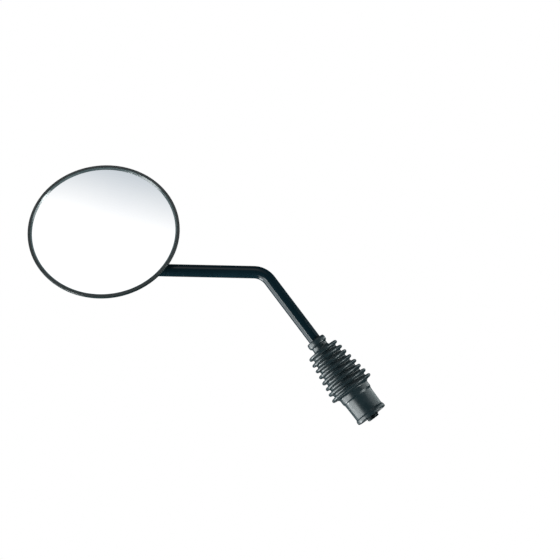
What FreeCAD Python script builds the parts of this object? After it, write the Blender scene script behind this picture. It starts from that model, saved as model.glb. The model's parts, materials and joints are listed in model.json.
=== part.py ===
"""Handlebar mirror: a round convex mirror clamped to a bent rod on a ball-jointed stud.

Frame: origin on the stud's axis, at the face of the lock washer that seats on the bracket.
+Z runs up the stud, the rod bends over in the XZ plane towards -X, and the glass faces -Y.
The head's parts are drawn in the head's own frame and then placed: x along the rod's arm,
away from the bend; y in the plane of the glass, towards the lower end; z out of the glass.
Its origin is the centre of the disc, on the front plane of the rim. All lengths are in mm.
"""

import FreeCAD, Part
import math
import os

# ---- mounting stud and its nut -------------------------------------------------------------
STUD_R = 5.0                 # M10 x 1.25
STUD_END_Z = -11.0
STUD_TOP_Z = 17.5
STUD_CHAMFER = 1.0
RELIEF_R = 4.3               # undercut where the washer sits
RELIEF_H = 0.6
WASHER_H = 2.2
WASHER_R = 8.2
NUT_AF = 14.0
NUT_H = 4.5
END_CHAMFER_DEG = 30         # on the corners of hexagons

# ---- ball socket ---------------------------------------------------------------------------
PIVOT_Z = 38.0
BALL_R = 6.0
HEX_AF = 16.0
HEX_Z = 7.0
FLANGE_Z = 11.0
FLANGE_R = 10.3
BODY_Z = 14.0
BODY_R = 8.4
BODY_TOP_Z = 43.0
BORE_R = 7.05
BORE_Z = 19.5
RUN_GAP = 0.05               # radial clearance of parts that turn or slide in each other
SEAT_GAP = 0.1               # half of the gap between the two ball seats
SEAT_TOP_Z = PIVOT_Z + 2.8
SPRING_COUNT = 4
SPRING_T = 0.8
SPRING_RISE = 0.5
SPRING_BORE_R = 3.1          # hole of the springs and of the washer on them
THRUST_H = 1.3
MOUTH_R = 5.5                # opening of the retaining nut, enough for the tilted neck
MOUTH_TOP_R = 6.1
NUT_SLOT_W = 1.6
NUT_SLOT_H = 0.9
EDGE = 0.4                   # small chamfers on turned steel

# ---- ball and its screw --------------------------------------------------------------------
BALL_BORE_R = 3.0
BALL_FLAT_H = 4.5            # height of the ball's flat top over the pivot
SCREW_SINK_H = 3.8           # depth of the ball's counterbore under the pivot
SCREW_SINK_R = 3.75
M3_R = 1.5
M3_HEAD_R = 3.5
M3_HEAD_H = 1.3
M3_KEY_AF = 2.5
M3_KEY_DEPTH = 0.6
M3_REACH = 6.0               # how far the screw goes up past the pivot

# ---- bent rod ------------------------------------------------------------------------------
ROD_R = 4.6
NECK_R = 3.5
NECK_TOP_Z = 46.0
SHOULDER_Z = 47.2
CORNER_Z = 123.05            # where the two arms' axes cross
BEND_DEG = 51.5
BEND_R = 15.0
ARM_LENGTH = 145.0
ROD_CHAMFER = 0.8

# ---- rubber boot ---------------------------------------------------------------------------
BOOT_END_Z = -8.7
BOOT_TOP_Z = 60.9
BEAD_R = 12.2                # thickened end of the skirt
BEAD_H = 3.1
SKIRT_LOW_R = 11.4
SKIRT_TOP_R = 11.7
SKIRT_TOP_Z = 8.9
COLLAR_R = 12.35
COLLAR_Z = (10.0, 13.3)
SKIRT_BORE_R = 9.75
MOUTH_BORE_R = 10.4
FIN_COUNT = 8
FIN_PITCH = 4.89
FIN_LOW_Z = 16.65
FIN_LOW_R = 17.25
FIN_HIGH_R = 12.5
FIN_HALF_T = 1.25
FIN_DEPTH = 3.0
BOOT_WALL = 1.2
NECK_OUT_R = 6.1
NECK_GRIP_Z = 56.3           # where the neck's end bead starts
NECK_BEAD_R = 7.45

# ---- mirror head ---------------------------------------------------------------------------
DISC_R = 56.0
HEAD_ROLL_DEG = 27.2         # the head's turn about the arm, lower edge towards the rider
CENTRE_ALONG = 118.7         # from the bend's corner to the foot of the disc's centre
CENTRE_OFFSET = 25.0         # from the arm's axis to the disc's centre
ROD_DEPTH = 12.6             # from the rim's front plane to the arm's axis
LIP_R = 52.8                 # the rim's inner edge, over the glass
LIP_T = 1.2
LIP_BEVEL = 1.0
RIM_EDGE = 0.7               # rounding of the rim's outer corner
RIM_STRAIGHT = -1.9          # down to here the rim's side is upright, then it draws in
RIM_BACK = -3.0
RIM_BACK_R = 55.4
RIM_WALL = 1.0
HOOK_TOP = -2.25
HOOK_R = 54.55
GLASS_R = 53.7
GLASS_T = 2.0
GLASS_EDGE_Z = -1.3
GLASS_CURVE_R = 1200.0
BACK_Z = -7.5                # the housing's back at its middle
BACK_CURVE = ((26.0, -7.36), (48.5, -7.0))
SHOULDER = ((52.7, -6.1), (55.0, -3.8))
UPSTAND_R = 53.8             # inside of the edge that the rim snaps over
UPSTAND_TOP = -1.4
SNAP_R = 54.95
SNAP_LOW = -2.15
GROOVE_R = 54.45
GROOVE_LOW = -3.05
LEDGE_R = 51.8
LEDGE_Z = -3.95
FLOOR_Z = -5.4
FOAM_R = 50.8

# ---- clamp on the back of the head ---------------------------------------------------------
PLATE_X = -1.7               # middle of the clamp along the arm
PLATE_LENGTH = 29.0
PLATE_NEAR = 7.5             # reach past the rod towards the disc's centre
PLATE_FAR = 12.5             # reach past the rod on the screws' side
PLATE_FLAT = -18.8           # the plate's outer face, in the head's frame
PLATE_EDGE = 1.2
PLATE_CORNER = 2.5
CROWN_RISE = 1.1             # how far the plate's face stands out over the rod
PAD_LENGTH = 31.0
PAD_NEAR = 8.2
PAD_FAR = 16.0
PAD_CORNER = 3.0
FOOT_TOP = -10.2
SPLIT = 0.5                  # half of the gap between plate and pad
LIP_LENGTH = 2.0             # end walls that keep the sleeve in
ROD_PASS_R = 4.9
SLEEVE_R = 5.2
SLEEVE_SLOT = 1.0
SCREW_OFFSET = 7.9
SCREW_SPACING = 20.5
SCREW_R = 2.0
HEAD_R = 3.8
HEAD_H = 2.3
RECESS_R = 4.3
CROSS_SIZE = (4.2, 0.9)      # length and width of one bar of the cross
CROSS_DEPTH = 1.5
SEAT_DEPTH = -17.2           # where the screws' heads sit, in the head's frame
INSERT_R = 2.8
INSERT_TOP = -10.5
INSERT_LENGTH = 4.0
SCREW_TIP = -6.8

V = FreeCAD.Vector
Z = V(0, 0, 1)


def ring(r0, r1, z0, z1):
    """A tube about Z, or a plain rod where r0 is 0."""
    outer = Part.makeCylinder(r1, z1 - z0, V(0, 0, z0))
    if r0 == 0:
        return outer
    return outer.cut(Part.makeCylinder(r0, z1 - z0 + 2, V(0, 0, z0 - 1)))


def spun(edges):
    """The solid that a closed outline of edges in the XZ plane makes about Z, right side out."""
    solid = Part.Face(Part.Wire(edges)).revolve(V(0, 0, 0), Z, 360)
    return solid.reversed() if solid.Volume < 0 else solid


def turned(points):
    """The solid that a closed outline of (radius, height) points makes about Z."""
    corners = [V(r, 0, z) for r, z in points + points[:1]]
    return spun([Part.makeLine(a, b) for a, b in zip(corners, corners[1:])])


def hexagon(af, z0, z1, chamfer):
    """A hexagonal bar about Z. Its corners are taken off at both ends, at the low end, or at none."""
    corner = af / math.sqrt(3)
    turns = [math.radians(60 * i) for i in range(7)]
    wire = Part.makePolygon([V(corner * math.cos(t), corner * math.sin(t), z0) for t in turns])
    bar = Part.Face(wire).extrude(V(0, 0, z1 - z0))
    flat = af / 2
    start = flat - 0.1
    fall = (corner - start) * math.tan(math.radians(END_CHAMFER_DEG))
    envelope = [(0, z0)]
    envelope += [(start, z0), (corner, z0 + fall)] if chamfer in ("both", "low") else [(corner, z0)]
    envelope += [(corner, z1 - fall), (start, z1)] if chamfer == "both" else [(corner, z1)]
    envelope += [(0, z1)]
    return bar.common(turned(envelope))


def threaded_stud():
    c = STUD_CHAMFER
    outline = [
        (0, STUD_END_Z), (STUD_R - c, STUD_END_Z), (STUD_R, STUD_END_Z + c), (STUD_R, 0),
        (RELIEF_R, 0), (RELIEF_R, RELIEF_H), (STUD_R, RELIEF_H), (STUD_R, STUD_TOP_Z), (0, STUD_TOP_Z),
    ]
    return turned(outline)


def lock_washer():
    split = Part.makeBox(WASHER_R + 1, 1.2, WASHER_H + 2, V(0, -0.6, -1))
    split.rotate(V(WASHER_R, 0, WASHER_H / 2), V(1, 0, 0), 25)
    return ring(STUD_R + 0.2, WASHER_R, 0, WASHER_H).cut(split)


def lock_nut():
    nut = hexagon(NUT_AF, WASHER_H, WASHER_H + NUT_H, "both")
    return nut.cut(ring(0, STUD_R, 0, HEX_Z))


def socket_body():
    """The steel cup: a hexagon for the spanner, a flange that holds the boot, and the barrel."""
    barrel = turned([
        (0, BODY_Z), (BODY_R, BODY_Z), (BODY_R, BODY_TOP_Z - EDGE), (BODY_R - EDGE, BODY_TOP_Z),
        (0, BODY_TOP_Z),
    ])
    flange = turned([
        (0, FLANGE_Z), (FLANGE_R - EDGE, FLANGE_Z), (FLANGE_R, FLANGE_Z + EDGE), (FLANGE_R, BODY_Z - EDGE),
        (FLANGE_R - EDGE, BODY_Z), (0, BODY_Z),
    ])
    body = hexagon(HEX_AF, HEX_Z, FLANGE_Z, "low").fuse([flange, barrel]).removeSplitter()
    return body.cut(ring(0, BORE_R, BORE_Z, BODY_TOP_Z + 1)).cut(ring(0, STUD_R, HEX_Z - 1, STUD_TOP_Z))


def socket_retaining_nut():
    """The slotted ring screwed into the socket's mouth, open enough for the tilted neck."""
    low = SEAT_TOP_Z + RUN_GAP
    top = BODY_TOP_Z - 0.2
    nut = turned([(MOUTH_R, low), (BORE_R, low), (BORE_R, top), (MOUTH_TOP_R, top)])
    slot = Part.makeBox(2 * BORE_R + 2, NUT_SLOT_W, 2, V(-BORE_R - 1, -NUT_SLOT_W / 2, top - NUT_SLOT_H))
    return nut.cut(slot)


def disc_springs():
    """A stack of cone springs, facing each other in pairs."""
    step = SPRING_T + SPRING_RISE
    inner, outer = SPRING_BORE_R, BORE_R - 0.15
    springs = []
    for i in range(SPRING_COUNT):
        base = BORE_Z + i * step
        at_inner, at_outer = (SPRING_RISE, 0) if i % 2 == 0 else (0, SPRING_RISE)
        springs.append(turned([
            (inner, base + at_inner), (outer, base + at_outer),
            (outer, base + at_outer + SPRING_T), (inner, base + at_inner + SPRING_T),
        ]))
    return Part.makeCompound(springs)


def thrust_washer():
    z0 = BORE_Z + SPRING_COUNT * (SPRING_T + SPRING_RISE)
    return ring(SPRING_BORE_R, BORE_R - 0.1, z0, z0 + THRUST_H)


def ball_seat(z0, z1):
    hollow = Part.makeSphere(BALL_R + RUN_GAP, V(0, 0, PIVOT_Z))
    return ring(0, BORE_R - RUN_GAP, z0, z1).cut(hollow)


def lower_ball_seat():
    z0 = BORE_Z + SPRING_COUNT * (SPRING_T + SPRING_RISE) + THRUST_H + RUN_GAP
    return ball_seat(z0, PIVOT_Z - SEAT_GAP).cut(ring(0, 4.2, z0 - 1, PIVOT_Z - 4))


def upper_ball_seat():
    return ball_seat(PIVOT_Z + SEAT_GAP, SEAT_TOP_Z)


def ball():
    sphere = Part.makeSphere(BALL_R, V(0, 0, PIVOT_Z))
    trimmed = sphere.common(ring(0, BALL_R + 1, PIVOT_Z - BALL_R - 1, PIVOT_Z + BALL_FLAT_H))
    bored = trimmed.cut(ring(0, BALL_BORE_R + RUN_GAP, PIVOT_Z - BALL_R - 1, PIVOT_Z + BALL_R))
    return bored.cut(ring(0, SCREW_SINK_R, PIVOT_Z - BALL_R - 1, PIVOT_Z - SCREW_SINK_H))


def ball_screw():
    """The screw from below that keeps the ball on the end of the rod."""
    top = PIVOT_Z - SCREW_SINK_H - RUN_GAP
    low = top - M3_HEAD_H
    head = turned([
        (0, low), (M3_HEAD_R - 2 * EDGE, low), (M3_HEAD_R, low + EDGE), (M3_HEAD_R, top), (0, top),
    ])
    key = hexagon(M3_KEY_AF, low - 1, low + M3_KEY_DEPTH, "none")
    shank = ring(0, M3_R, top, PIVOT_Z + M3_REACH)
    return head.cut(key).fuse(shank).removeSplitter()


def arm_direction():
    turn = math.radians(BEND_DEG)
    return V(-math.sin(turn), 0, math.cos(turn))


def stem_rod():
    """The rod: necked end in the ball, upright, bend, and the arm that the head slides on."""
    tangent = BEND_R * math.tan(math.radians(BEND_DEG / 2))
    bend_z = CORNER_Z - tangent
    end = PIVOT_Z - SCREW_SINK_H
    seat = PIVOT_Z + BALL_FLAT_H + RUN_GAP
    upright = turned([
        (0, end), (BALL_BORE_R, end), (BALL_BORE_R, seat), (NECK_R, seat), (NECK_R, NECK_TOP_Z),
        (ROD_R, SHOULDER_Z), (ROD_R, bend_z), (0, bend_z),
    ])
    section = Part.Face(Part.Wire(Part.makeCircle(ROD_R, V(0, 0, bend_z), Z)))
    bend = section.revolve(V(-BEND_R, 0, bend_z), V(0, -1, 0), BEND_DEG)
    arm = turned([
        (0, tangent), (ROD_R, tangent), (ROD_R, ARM_LENGTH - ROD_CHAMFER),
        (ROD_R - ROD_CHAMFER, ARM_LENGTH), (0, ARM_LENGTH),
    ])
    arm.Placement = FreeCAD.Placement(V(0, 0, CORNER_Z), FreeCAD.Rotation(Z, arm_direction()))
    rod = upright.fuse([bend, arm]).removeSplitter()
    return rod.cut(ring(0, M3_R, end - 1, PIVOT_Z + M3_REACH))


def fin(k):
    """Crest radius and height of the boot's k-th fin, counted from the lowest."""
    share = k / (FIN_COUNT - 1)
    return FIN_LOW_R + share * (FIN_HIGH_R - FIN_LOW_R), FIN_LOW_Z + k * FIN_PITCH


def boot_outline():
    """Edges of the boot's section: skirt, collar, fins and neck outside, bore and groove inside."""
    edges = []
    here = [V(MOUTH_BORE_R, 0, BOOT_END_Z)]

    def line(*corners):
        for r, z in corners:
            to = V(r, 0, z)
            edges.append(Part.makeLine(here[0], to))
            here[0] = to

    def arc(rm, zm, r, z):
        to = V(r, 0, z)
        edges.append(Part.Arc(here[0], V(rm, 0, zm), to).toShape())
        here[0] = to

    bead_top = BOOT_END_Z + BEAD_H
    line((BEAD_R - 0.7, BOOT_END_Z), (BEAD_R - 0.1, BOOT_END_Z + 0.7), (BEAD_R, bead_top - 1.1))
    line((SKIRT_LOW_R + 0.1, bead_top), (SKIRT_LOW_R, bead_top + 0.9), (SKIRT_TOP_R, SKIRT_TOP_Z))
    line((COLLAR_R - 0.1, COLLAR_Z[0] - 0.4), (COLLAR_R, COLLAR_Z[0]), (COLLAR_R, COLLAR_Z[1]))
    t = FIN_HALF_T
    r, z = fin(0)
    line((r - FIN_DEPTH, z - t), (r - t, z - t))
    for k in range(FIN_COUNT):
        r, z = fin(k)
        arc(r, z, r - t, z + t)
        if k + 1 == FIN_COUNT:
            break
        r_next, z_next = fin(k + 1)
        gap = FIN_PITCH / 2 - t
        root = (r + r_next) / 2 - FIN_DEPTH
        line((root + gap, z + t))
        arc(root, z + FIN_PITCH / 2, root + gap, z_next - t)
        line((r_next - t, z_next - t))
    line((NECK_OUT_R + 1.2, z + t))
    arc(NECK_OUT_R + 0.35, z + t + 0.85, NECK_OUT_R, z + t + 2.0)
    line((NECK_OUT_R, NECK_GRIP_Z), (NECK_BEAD_R - 0.25, NECK_GRIP_Z + 0.6))
    arc(NECK_BEAD_R, (NECK_GRIP_Z + BOOT_TOP_Z) / 2, NECK_BEAD_R - 0.35, BOOT_TOP_Z - 0.4)
    line((NECK_BEAD_R - 0.65, BOOT_TOP_Z), (ROD_R + RUN_GAP, BOOT_TOP_Z))
    inner = FIN_DEPTH + BOOT_WALL
    top_r, top_z = fin(FIN_COUNT - 1)
    wide_r, wide_z = fin(1)
    line((ROD_R + RUN_GAP, top_z + 2.6), (top_r - inner + 0.3, top_z - 0.6), (wide_r - inner, wide_z - 1.0))
    waist = SKIRT_BORE_R - 0.55
    groove_r, groove_low, groove_top = FLANGE_R + 0.1, FLANGE_Z - 0.1, BODY_Z + 0.1
    line((waist, groove_top + 1.2), (waist, groove_top), (groove_r, groove_top), (groove_r, groove_low))
    line((SKIRT_BORE_R, groove_low), (SKIRT_BORE_R, bead_top), (MOUTH_BORE_R, BOOT_END_Z))
    return edges


def rubber_boot():
    return spun(boot_outline())


# ---- head, in its own frame ----------------------------------------------------------------


def head_placement():
    """Where the head's frame stands: on the arm, rolled about it, beside the rod's axis."""
    along = arm_direction()
    across = V(along.z * -1, 0, along.x)
    roll = math.radians(HEAD_ROLL_DEG)
    down = across * math.cos(roll) + V(0, -math.sin(roll), 0)
    out = along.cross(down)
    centre = V(0, 0, CORNER_Z) + along * CENTRE_ALONG - down * CENTRE_OFFSET + out * ROD_DEPTH
    return FreeCAD.Placement(centre, FreeCAD.Rotation(along, down, out, "ZXY"))


def along_rod(r, x0, x1):
    """A cylinder about the arm's axis, in the head's frame."""
    return Part.makeCylinder(r, x1 - x0, V(x0, CENTRE_OFFSET, -ROD_DEPTH), V(1, 0, 0))


def screw_places():
    y = CENTRE_OFFSET + SCREW_OFFSET
    return [(PLATE_X - SCREW_SPACING / 2, y), (PLATE_X + SCREW_SPACING / 2, y)]


def at_screws(shape):
    return [shape.translated(V(x, y, 0)) for x, y in screw_places()]


def sleeve_room():
    """The hollow of the clamp: the sleeve's groove between two lips that only pass the rod."""
    half = PAD_LENGTH / 2
    groove = along_rod(SLEEVE_R + RUN_GAP, PLATE_X - half + LIP_LENGTH, PLATE_X + half - LIP_LENGTH)
    return groove.fuse(along_rod(ROD_PASS_R, PLATE_X - half - 1, PLATE_X + half + 1))


def cap_of_sphere(r, edge_z):
    """A disc whose top is a part of a large sphere, down to edge_z at radius r."""
    drop = GLASS_CURVE_R - math.sqrt(GLASS_CURVE_R ** 2 - r ** 2)
    apex = edge_z + drop
    middle = math.sqrt(GLASS_CURVE_R ** 2 - (r / 2) ** 2) - GLASS_CURVE_R + apex
    return Part.Arc(V(r, 0, edge_z), V(r / 2, 0, middle), V(0, 0, apex)).toShape(), apex


def rounded_block(x0, x1, y0, y1, z0, z1, corner):
    box = Part.makeBox(x1 - x0, y1 - y0, z1 - z0, V(x0, y0, z0))
    upright = [e for e in box.Edges if abs(e.tangentAt(e.FirstParameter).z) > 0.99]
    return box.makeFillet(corner, upright)


def mirror_housing():
    """The moulded back: a shallow dish with the clamp's pad on it and an edge for the rim to snap over."""
    (middle_r, middle_z), (flat_r, flat_z) = BACK_CURVE
    (bulge_r, bulge_z), (side_r, side_z) = SHOULDER
    centre = V(0, 0, BACK_Z)
    flat_end = V(flat_r, 0, flat_z)
    side = V(side_r, 0, side_z)
    edges = [
        Part.Arc(centre, V(middle_r, 0, middle_z), flat_end).toShape(),
        Part.Arc(flat_end, V(bulge_r, 0, bulge_z), side).toShape(),
    ]
    rest = [
        (side_r, side_z), (side_r, GROOVE_LOW), (GROOVE_R, GROOVE_LOW), (GROOVE_R, SNAP_LOW),
        (SNAP_R, SNAP_LOW), (SNAP_R, UPSTAND_TOP - 0.3), (SNAP_R - 0.3, UPSTAND_TOP),
        (UPSTAND_R, UPSTAND_TOP), (UPSTAND_R, LEDGE_Z), (LEDGE_R, LEDGE_Z), (LEDGE_R - 0.5, FLOOR_Z),
        (0, FLOOR_Z), (0, BACK_Z),
    ]
    corners = [V(r, 0, z) for r, z in rest]
    edges += [Part.makeLine(a, b) for a, b in zip(corners, corners[1:])]
    dish = spun(edges)
    half = PAD_LENGTH / 2
    x0, x1 = PLATE_X - half, PLATE_X + half
    near = CENTRE_OFFSET - PAD_NEAR
    foot = rounded_block(x0, x1, near, CENTRE_OFFSET + PAD_FAR, FOOT_TOP, FLOOR_Z, PAD_CORNER)
    block = rounded_block(x0, x1, near, CENTRE_OFFSET + PLATE_FAR, SPLIT - ROD_DEPTH, FLOOR_Z, PLATE_CORNER)
    shell = dish.fuse([foot, block]).removeSplitter()
    hole = Part.makeCylinder(INSERT_R, INSERT_LENGTH + 3, V(0, 0, INSERT_TOP - 3))
    return shell.cut(sleeve_room()).cut(Part.makeCompound(at_screws(hole)))


def rim_bezel():
    """The rim: a lip over the glass, a side that draws in at the back, and a hook behind the snap edge."""
    wall_r = DISC_R - RIM_WALL
    return turned([
        (LIP_R, -LIP_T), (LIP_R, 0.3 - LIP_T), (LIP_R + LIP_BEVEL, -0.15), (LIP_R + LIP_BEVEL + 0.4, 0),
        (DISC_R - RIM_EDGE, 0), (DISC_R, -RIM_EDGE), (DISC_R, RIM_STRAIGHT), (RIM_BACK_R, RIM_BACK),
        (HOOK_R, RIM_BACK), (HOOK_R, HOOK_TOP), (wall_r, HOOK_TOP), (wall_r, -LIP_T),
    ])


def mirror_glass():
    front, apex = cap_of_sphere(GLASS_R, GLASS_EDGE_Z)
    back, low = cap_of_sphere(GLASS_R, GLASS_EDGE_Z - GLASS_T)
    side = Part.makeLine(V(GLASS_R, 0, GLASS_EDGE_Z), V(GLASS_R, 0, GLASS_EDGE_Z - GLASS_T))
    axis = Part.makeLine(V(0, 0, low), V(0, 0, apex))
    return spun([front, axis, back, side])


def glass_gasket():
    """The soft ring between the ledge and the back of the glass."""
    under = GLASS_EDGE_Z - GLASS_T - 0.02
    return ring(LEDGE_R + 0.2, UPSTAND_R - 0.1, LEDGE_Z + 0.05, under)


def foam_pad():
    """The foam that presses the middle of the glass forward."""
    edge_z = GLASS_EDGE_Z - GLASS_T + 0.05
    top, apex = cap_of_sphere(FOAM_R, edge_z)
    corners = [V(0, 0, apex), V(0, 0, FLOOR_Z), V(FOAM_R, 0, FLOOR_Z), V(FOAM_R, 0, edge_z)]
    return spun([top] + [Part.makeLine(a, b) for a, b in zip(corners, corners[1:])])


def clamp_plate():
    """The cap over the rod: flat where the screws go through, crowned over the rod."""
    half = PLATE_LENGTH / 2
    near, far = CENTRE_OFFSET - PLATE_NEAR, CENTRE_OFFSET + PLATE_FAR
    low = -ROD_DEPTH - SPLIT
    flat, crown = PLATE_FLAT, PLATE_FLAT - CROWN_RISE
    outline = [
        V(0, near, low), V(0, far, low), V(0, far, flat + PLATE_EDGE), V(0, far - PLATE_EDGE, flat),
        V(0, CENTRE_OFFSET + 3.6, flat - 0.5), V(0, CENTRE_OFFSET - 2.6, crown + 0.1), V(0, near, low - 2.6),
        V(0, near, low),
    ]
    over = {
        2: V(0, far - 0.3 * PLATE_EDGE, flat + 0.3 * PLATE_EDGE),
        4: V(0, CENTRE_OFFSET + 0.4, crown),
        5: V(0, CENTRE_OFFSET - 6.1, flat + 0.7),
    }
    edges = []
    for i, (a, b) in enumerate(zip(outline, outline[1:])):
        edges.append(Part.Arc(a, over[i], b).toShape() if i in over else Part.makeLine(a, b))
    bar = Part.Face(Part.Wire(edges)).extrude(V(PLATE_LENGTH, 0, 0)).translated(V(PLATE_X - half, 0, 0))
    trim = rounded_block(
        PLATE_X - half, PLATE_X + half, near, far, flat - 3, low + 1, PLATE_CORNER)
    hole = Part.makeCylinder(SCREW_R + 0.25, 8, V(0, 0, -20)).fuse(
        Part.makeCylinder(RECESS_R, 6, V(0, 0, SEAT_DEPTH - 6)))
    return trim.common(bar).cut(sleeve_room()).cut(Part.makeCompound(at_screws(hole)))


def clamp_sleeve():
    half = PAD_LENGTH / 2 - LIP_LENGTH - 0.15
    sleeve = along_rod(SLEEVE_R, PLATE_X - half, PLATE_X + half).cut(
        along_rod(ROD_R + RUN_GAP, PLATE_X - half - 1, PLATE_X + half + 1))
    corner = V(PLATE_X - half - 1, CENTRE_OFFSET - SLEEVE_SLOT / 2, -ROD_DEPTH)
    return sleeve.cut(Part.makeBox(2 * half + 2, SLEEVE_SLOT, SLEEVE_R + 1, corner))


def cross_recess(top):
    """The cross in a screw's head, cut from its top downwards (towards +z here)."""
    long, wide = CROSS_SIZE
    bars = [
        Part.makeBox(long, wide, CROSS_DEPTH, V(-long / 2, -wide / 2, top)),
        Part.makeBox(wide, long, CROSS_DEPTH, V(-wide / 2, -long / 2, top)),
    ]
    return bars[0].fuse(bars[1])


def clamp_screws():
    """Two M4 pan-head screws with crossed recesses."""
    under = SEAT_DEPTH
    top = under - HEAD_H
    shape = turned([
        (0, SCREW_TIP), (SCREW_R - 0.4, SCREW_TIP), (SCREW_R, SCREW_TIP - 0.4), (SCREW_R, under),
        (HEAD_R, under), (HEAD_R, under - 1.0), (HEAD_R - 0.5, top + 0.55), (HEAD_R - 1.5, top + 0.08),
        (HEAD_R - 2.4, top), (0, top),
    ])
    screw = shape.cut(cross_recess(top - 0.01))
    return Part.makeCompound(at_screws(screw))


def threaded_inserts():
    insert = ring(SCREW_R, INSERT_R, INSERT_TOP, INSERT_TOP + INSERT_LENGTH)
    return Part.makeCompound(at_screws(insert))


BASE_PARTS = [
    threaded_stud, lock_washer, lock_nut, socket_body, socket_retaining_nut, disc_springs, thrust_washer,
    lower_ball_seat, upper_ball_seat, ball, ball_screw, stem_rod, rubber_boot,
]
HEAD_PARTS = [
    mirror_housing, rim_bezel, mirror_glass, glass_gasket, foam_pad, clamp_plate, clamp_sleeve, clamp_screws,
    threaded_inserts,
]


def main():
    os.makedirs("parts", exist_ok=True)
    head_at = head_placement()
    for make in BASE_PARTS + HEAD_PARTS:
        shape = make()
        if make in HEAD_PARTS:
            shape.Placement = head_at
        solids = shape.Solids
        shape = solids[0] if len(solids) == 1 else Part.makeCompound(solids)
        shape.exportStep(f"parts/{make.__name__}.step")
        print(make.__name__, len(solids), shape.isValid(), round(shape.Volume, 1))


main()
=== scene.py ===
"""Looks of the handlebar mirror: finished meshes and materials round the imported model.

Shapes are drawn in millimetres. Round ones are turned about Z, and those of the head are drawn in
the head's own frame: x along the rod's arm away from the bend, y in the plane of the glass towards
the lower end, z out of the glass, with the origin at the disc's centre on the rim's front plane.
"""
import json
import math

import bmesh
import bpy
from mathutils import Matrix, Vector


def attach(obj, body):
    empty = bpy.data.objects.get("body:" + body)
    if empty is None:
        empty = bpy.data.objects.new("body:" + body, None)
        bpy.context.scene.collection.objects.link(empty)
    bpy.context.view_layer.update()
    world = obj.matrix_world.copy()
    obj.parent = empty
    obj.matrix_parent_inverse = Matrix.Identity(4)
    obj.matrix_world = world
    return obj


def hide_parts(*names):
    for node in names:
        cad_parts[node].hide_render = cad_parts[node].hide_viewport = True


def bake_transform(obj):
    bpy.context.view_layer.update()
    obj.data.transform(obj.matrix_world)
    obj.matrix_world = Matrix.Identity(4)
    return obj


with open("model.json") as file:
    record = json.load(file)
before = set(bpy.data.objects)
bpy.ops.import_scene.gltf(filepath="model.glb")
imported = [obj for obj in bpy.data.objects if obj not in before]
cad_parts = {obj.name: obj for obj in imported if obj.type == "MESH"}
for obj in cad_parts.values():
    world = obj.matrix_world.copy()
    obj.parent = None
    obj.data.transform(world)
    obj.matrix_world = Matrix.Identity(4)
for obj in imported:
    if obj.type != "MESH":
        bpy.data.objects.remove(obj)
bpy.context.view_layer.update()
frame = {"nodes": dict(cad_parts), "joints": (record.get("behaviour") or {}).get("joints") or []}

MM = 0.001
JOINTS = {joint["name"]: joint for joint in frame["joints"]}

# ---- sizes, in millimetres -----------------------------------------------------------------
STUD_R = 5.0
STUD_END_Z = -11.0
STUD_TOP_Z = 17.5
THREAD_PITCH = 1.25
THREAD_DEPTH = 0.72
CREST_SHARE = 0.12           # of the pitch, and the same again for each flank and root
FLANK_SHARE = 0.72
STUD_CHAMFER = 0.95

ROD_R = 4.6
NECK_R = 3.5
SPIGOT_R = 3.0
SPIGOT_Z = 34.2
BALL_TOP_Z = 42.55
NECK_TOP_Z = 46.0
SHOULDER_Z = 47.2
BEND_DEG = 51.5
BEND_R = 15.0
ARM_LENGTH = 145.0
ROD_CHAMFER = 0.8

BOOT_END_Z = -8.7
BOOT_TOP_Z = 60.9
MOUTH_R = 10.4
BEAD_R = 12.3                # round the mouth
SKIRT_LOW_R = 11.4
SKIRT_TOP_R = 11.7
COLLAR_R = 12.35
COLLAR_Z = (9.6, 13.9)
SKIRT_LIMIT_Z = 15.0         # below it there is only skirt and collar
FIN_COUNT = 8
FIN_PITCH = 4.89
FIN_LOW_Z = 16.65
FIN_LOW_R = 17.25
FIN_HIGH_R = 12.5
FIN_HALF_T = 1.25
FIN_DEPTH = 3.0
BOOT_WALL = 1.2
BORE_R = 9.75                # the skirt's inside, round the socket
BORE_END_Z = -5.0
FLANGE_ROOM_R = 10.4
FLANGE_ROOM_Z = (10.9, 14.1)
THROAT_R = 9.2
THROAT_TOP_Z = 15.3
LINING_STEPS = 16
NECK_OUT_R = 6.1
NECK_BEAD_R = 7.5
NECK_LIMIT_Z = 53.0          # above it there is only neck
SEAM_ANGLE = 0.6
SEAM_H = 0.14
SEAM_HALF_W = 0.45

DISC_R = 56.0
HEAD_ROLL_DEG = 27.2
CENTRE_ALONG = 118.7
CENTRE_OFFSET = 25.0
ROD_DEPTH = 12.6
LIP_R = 52.8
LIP_T = 1.2
GLASS_R = 53.7
GLASS_T = 2.0
GLASS_EDGE_Z = -1.3
GLASS_CURVE_R = 1200.0
BACK_Z = -7.5
FLOOR_Z = -5.4

PLATE_X = -1.7
PLATE_LENGTH = 29.0
PLATE_NEAR = 7.5
PLATE_FAR = 12.5
PLATE_LOW = -13.1
PLATE_FLAT = -18.8
PAD_LENGTH = 31.0
PAD_NEAR = 8.2
PAD_FAR = 16.0
PAD_TOP = -12.1
FOOT_TOP = -10.2
ROD_PASS_R = 4.9
SLEEVE_ROOM_R = 5.25
LIP_LENGTH = 2.0
SCREW_OFFSET = 7.9
SCREW_SPACING = 20.5
SCREW_R = 2.0
SCREW_HEAD_R = 3.8
SCREW_HEAD_H = 2.3
SCREW_SEAT = -17.2
SCREW_TIP = -6.8
FIRST_CROSS_DEG = 23.0
CROSS_STEP_DEG = 41.0
RECESS_R = 4.3
INSERT_R = 2.8


# ---- camera and light ----------------------------------------------------------------------

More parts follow.
